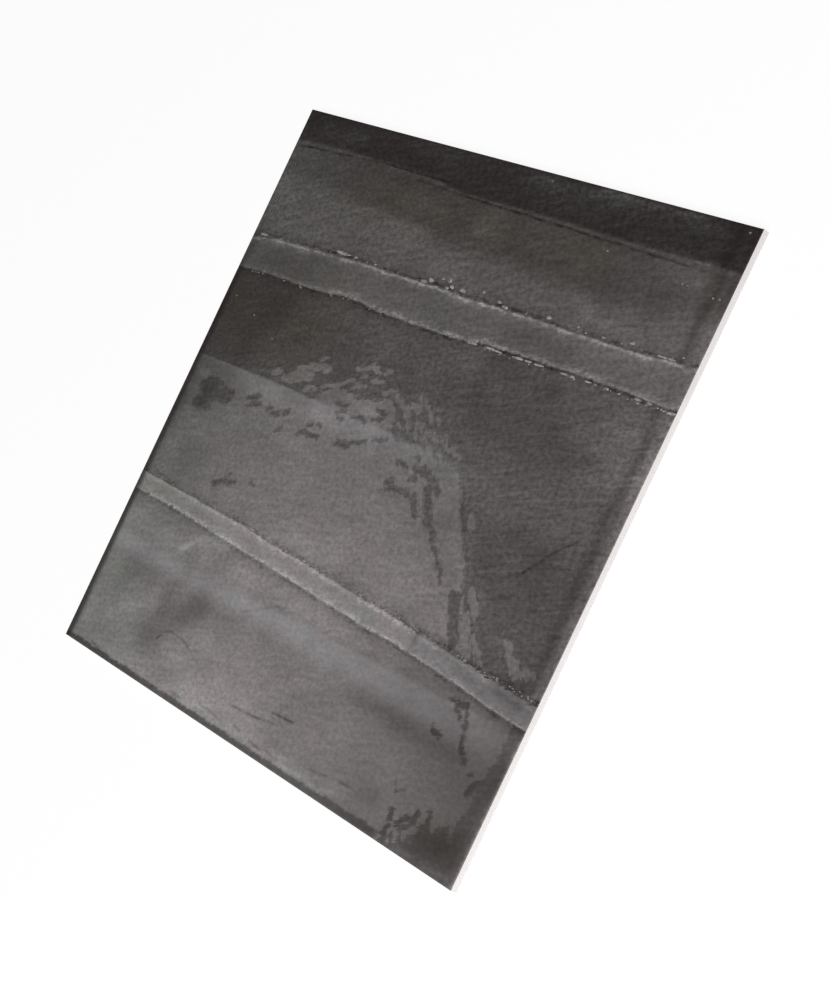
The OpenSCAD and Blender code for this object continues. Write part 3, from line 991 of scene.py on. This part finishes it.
def metal_print_glaze():
    """Satin porcelain glaze, sprayed over an ink-jet print and fired. To the eye it is dark sheet metal:
    finely mottled, faintly brushed, paler where it is burnished, with worn rims on the bands that carry a
    painted highlight, a painted shade beside them, and cool bars of painted reflection; the sheen is broad
    and soft."""
    material, tree, out = new_material("satin_glaze_over_metal_print")
    place = add_node(tree, "TexCoord").outputs["Object"]
    field = {
        name: add_node(tree, "Attribute", attribute_name=name).outputs["Fac"] for name in PRINT_FIELDS
    }
    noise = {}
    for name, (long, wide, turn, detail, roughness) in PATTERNS.items():
        size = (long * MM, wide * MM, long * MM)
        laid = add_node(
            tree, "Mapping", {"Vector": place, "Rotation": (0, 0, math.radians(turn)), "Scale": size},
            vector_type="TEXTURE",
        ).outputs["Vector"]
        pattern = noise_at(tree, laid, 1, detail, roughness, noise_dimensions="2D")
        noise[name] = maths(tree, "SUBTRACT", pattern, NOISE_MIDDLE)

    torn = mixed(tree, field["strokes_fall"], noise["torn_rising"], noise["torn_falling"], "FLOAT")
    depth = maths(tree, "MULTIPLY_ADD", torn, field["torn_reach"], field["burnished_depth"])
    burnished = ramp(tree, depth, (-TORN_BLUR, TORN_BLUR), kind="SMOOTHSTEP")
    tone = mixed(tree, burnished, field["dull_print"], field["bright_print"], "FLOAT")

    for name, swings in SWINGS.items():
        swing = maths(tree, "MULTIPLY", ramp(tree, burnished, (0, 1), swings), field["grain"])
        factor = maths(tree, "MULTIPLY_ADD", noise[name], swing, 1.0)
        tone = maths(tree, "MULTIPLY", tone, factor)

    uneven = ramp(tree, noise["broken"], (-BREAK_WINDOW, BREAK_WINDOW), BREAK_SHARES)
    for name, middle, half, strength, times in LINES:
        jagged = maths(tree, "MULTIPLY_ADD", noise["ragged"], field["jagged_reach"], field[name])
        away = maths(tree, "ABSOLUTE", maths(tree, "SUBTRACT", jagged, middle))
        share = maths(tree, "MULTIPLY", ramp(tree, away, (half, 0.0), kind="SMOOTHSTEP"), uneven)
        change = maths(tree, "MULTIPLY", field[strength] if strength else 1.0, times)
        factor = maths(tree, "MULTIPLY_ADD", share, change, 1.0)
        tone = maths(tree, "MULTIPLY", tone, factor)

    darkest, palest = (float(np.mean(paint(code)[:3])) for code in (BURNT_IRON, PEWTER))
    tint = add_node(tree, "Attribute", attribute_name="metal_tint").outputs["Color"]
    colour = mixed(tree, ramp(tree, tone, (darkest, palest)), paint(BURNT_IRON), tint)
    colour = mixed(tree, ramp(tree, noise["tint"], HEAT_WINDOW), colour, HEAT_TINT, blend="MULTIPLY")
    coat(tree, out, {
        "Base Color": colour, "Roughness": ramp(tree, burnished, (0, 1), GLOSS),
        "Normal": roughened(tree, noise["mottle"], HAMMER_DEPTH), "IOR": GLAZE_IOR,
    })
    return material


PORCELAIN = "#D3CDCD"
PORCELAIN_SPECK = "#CDC7C7"
# Noises of its grains and of its patches: size, detail and roughness
GROG, GROG_PATCH = (1.2 * MM, 3, 0.6), (45.0 * MM, 2, 0.5)
# The product of those noises at which the specks end and the plain body begins, the depth that grinding
# left in mm, the roughness and the refraction
SPECK_WINDOW = (0.12, 0.36)
GROUND_DEPTH = 0.005
PORCELAIN_ROUGHNESS, PORCELAIN_IOR = 0.78, 1.5


def ground_porcelain():
    """Fired porcelain body, ground square at the edges and left bare on the back. To the eye it is
    matt, pale and slightly pink, with fine grains of grog in it."""
    material, tree, out = new_material("ground_porcelain_biscuit")
    place = add_node(tree, "TexCoord").outputs["Object"]
    grains, patches = (noise_at(tree, place, *noise) for noise in (GROG, GROG_PATCH))
    plain = ramp(tree, maths(tree, "MULTIPLY", grains, patches), SPECK_WINDOW)
    coat(tree, out, {
        "Base Color": mixed(tree, plain, paint(PORCELAIN_SPECK), paint(PORCELAIN)),
        "Roughness": PORCELAIN_ROUGHNESS, "Normal": roughened(tree, grains, GROUND_DEPTH),
        "IOR": PORCELAIN_IOR,
    })
    return material


BEAD_PALE = "#979190"
BEAD_DULL = "#64605E"
# Noise of its patches, as size, detail and roughness; the noise at which they turn from dull to pale; and
# the roughness
BEAD_PATCH = (5.0 * MM, 2, 0.5)
BEAD_WINDOW = (0.38, 0.58)
BEAD_ROUGHNESS = 0.5


def bead_glass():
    """Crumbs of white frit melted on to the glaze. To the eye they are pale, half glossy beads."""
    material, tree, out = new_material("fused_frit_bead")
    place = add_node(tree, "TexCoord").outputs["Object"]
    paleness = add_node(tree, "Attribute", attribute_name="paleness").outputs["Fac"]
    uneven = ramp(tree, noise_at(tree, place, *BEAD_PATCH), BEAD_WINDOW)
    share = maths(tree, "MULTIPLY", uneven, paleness)
    coat(tree, out, {
        "Base Color": mixed(tree, share, paint(BEAD_DULL), paint(BEAD_PALE)),
        "Roughness": BEAD_ROUGHNESS, "IOR": GLAZE_IOR,
    })
    return material


# Half the floor's side, how far under the tile it lies, its own colour, and the share of plain white in
# what the eye sees of it
FLOOR_HALF = 30000.0
FLOOR_DROP = 0.2
FLOOR_WHITE = "#F7F7F6"
WHITE_SHARE = 0.9
WHITE = (1, 1, 1, 1)


def make_floor():
    """Plain pale floor just under the tile. Seen directly it is mostly white, and it keeps the shadow."""
    material, tree, out = new_material("white_studio_floor")
    # The white is for the eye alone, so the floor is never picked as a lamp
    material.cycles.emission_sampling = "NONE"
    path = add_node(tree, "LightPath").outputs
    seen = path["Is Camera Ray"]
    for ray in ("Is Glossy Ray", "Is Transmission Ray"):
        seen = maths(tree, "MAXIMUM", seen, path[ray])
    share = maths(tree, "MULTIPLY", seen, WHITE_SHARE)
    lit = add_node(tree, "BsdfDiffuse", {"Color": paint(FLOOR_WHITE)}).outputs["BSDF"]
    white = add_node(tree, "Emission", {"Color": WHITE, "Strength": 1}).outputs["Emission"]
    mix = add_node(tree, "MixShader", {0: share, 1: lit, 2: white}).outputs["Shader"]
    tree.links.new(mix, out.inputs["Surface"])
    signs = ((-1, -1), (1, -1), (1, 1), (-1, 1))
    ends = np.array([(FLOOR_HALF * a, FLOOR_HALF * b, -FLOOR_DROP) for a, b in signs])
    floor = new_piece("studio_floor", ends, [(0, 1, 2, 3)], [False], (material,), [0])


# The photograph's camera: where it stands and the point of the face it looks at, in metres,
# how far it is rolled about its own axis, its lens on a 36 mm sensor along the long side, and how far
# the picture was cropped off the lens's middle, as shares of that side
EYE = Vector((1.2837, -0.0316, 1.2621))
AIM = Vector((0.0727, -0.05, FACE * MM))
ROLL = math.radians(-65.336)
LENS = 69.633
SENSOR = 36.0
CROP = (0.0139, 0.0286)


def make_camera():
    """The photograph's view of the tile."""
    data = bpy.data.cameras.new("view")
    data.lens = LENS
    data.sensor_width = SENSOR
    data.shift_x, data.shift_y = CROP
    camera = add_object("view", data)
    turned = (AIM - EYE).to_track_quat("-Z", "Y").to_matrix() @ Matrix.Rotation(ROLL, 3, "Z")
    camera.matrix_world = Matrix.Translation(EYE) @ turned.to_4x4()
    bpy.context.scene.camera = camera


WORLD_LIGHT = 0.2
# Soft lamps: place in metres, side in metres, watts
LAMPS = {
    "key_softbox": ((2.0, -1.1, 2.1), 1.8, 108.0),
    "far_softbox": ((-1.6, -1.7, 2.0), 1.4, 14.0),
}


def make_light():
    """Plain soft studio light: an even pale world and two square softboxes turned to the tile."""
    world = bpy.data.worlds.new("studio")
    world.use_nodes = True
    sky = world.node_tree.nodes["Background"].inputs
    sky["Strength"].default_value = WORLD_LIGHT
    sky["Color"].default_value = WHITE
    bpy.context.scene.world = world
    for name, (place, side, watts) in LAMPS.items():
        data = bpy.data.lights.new(name, "AREA")
        data.shape = "SQUARE"
        data.size = side
        data.energy = watts
        lamp = add_object(name, data)
        lamp.location = place
        lamp.rotation_euler = (-Vector(place)).to_track_quat("-Z", "Y").to_euler()


make_tile(metal_print_glaze(), ground_porcelain())
make_beads(bead_glass())
make_floor()
make_light()
make_camera()
bpy.context.scene.view_settings.view_transform = "Standard"
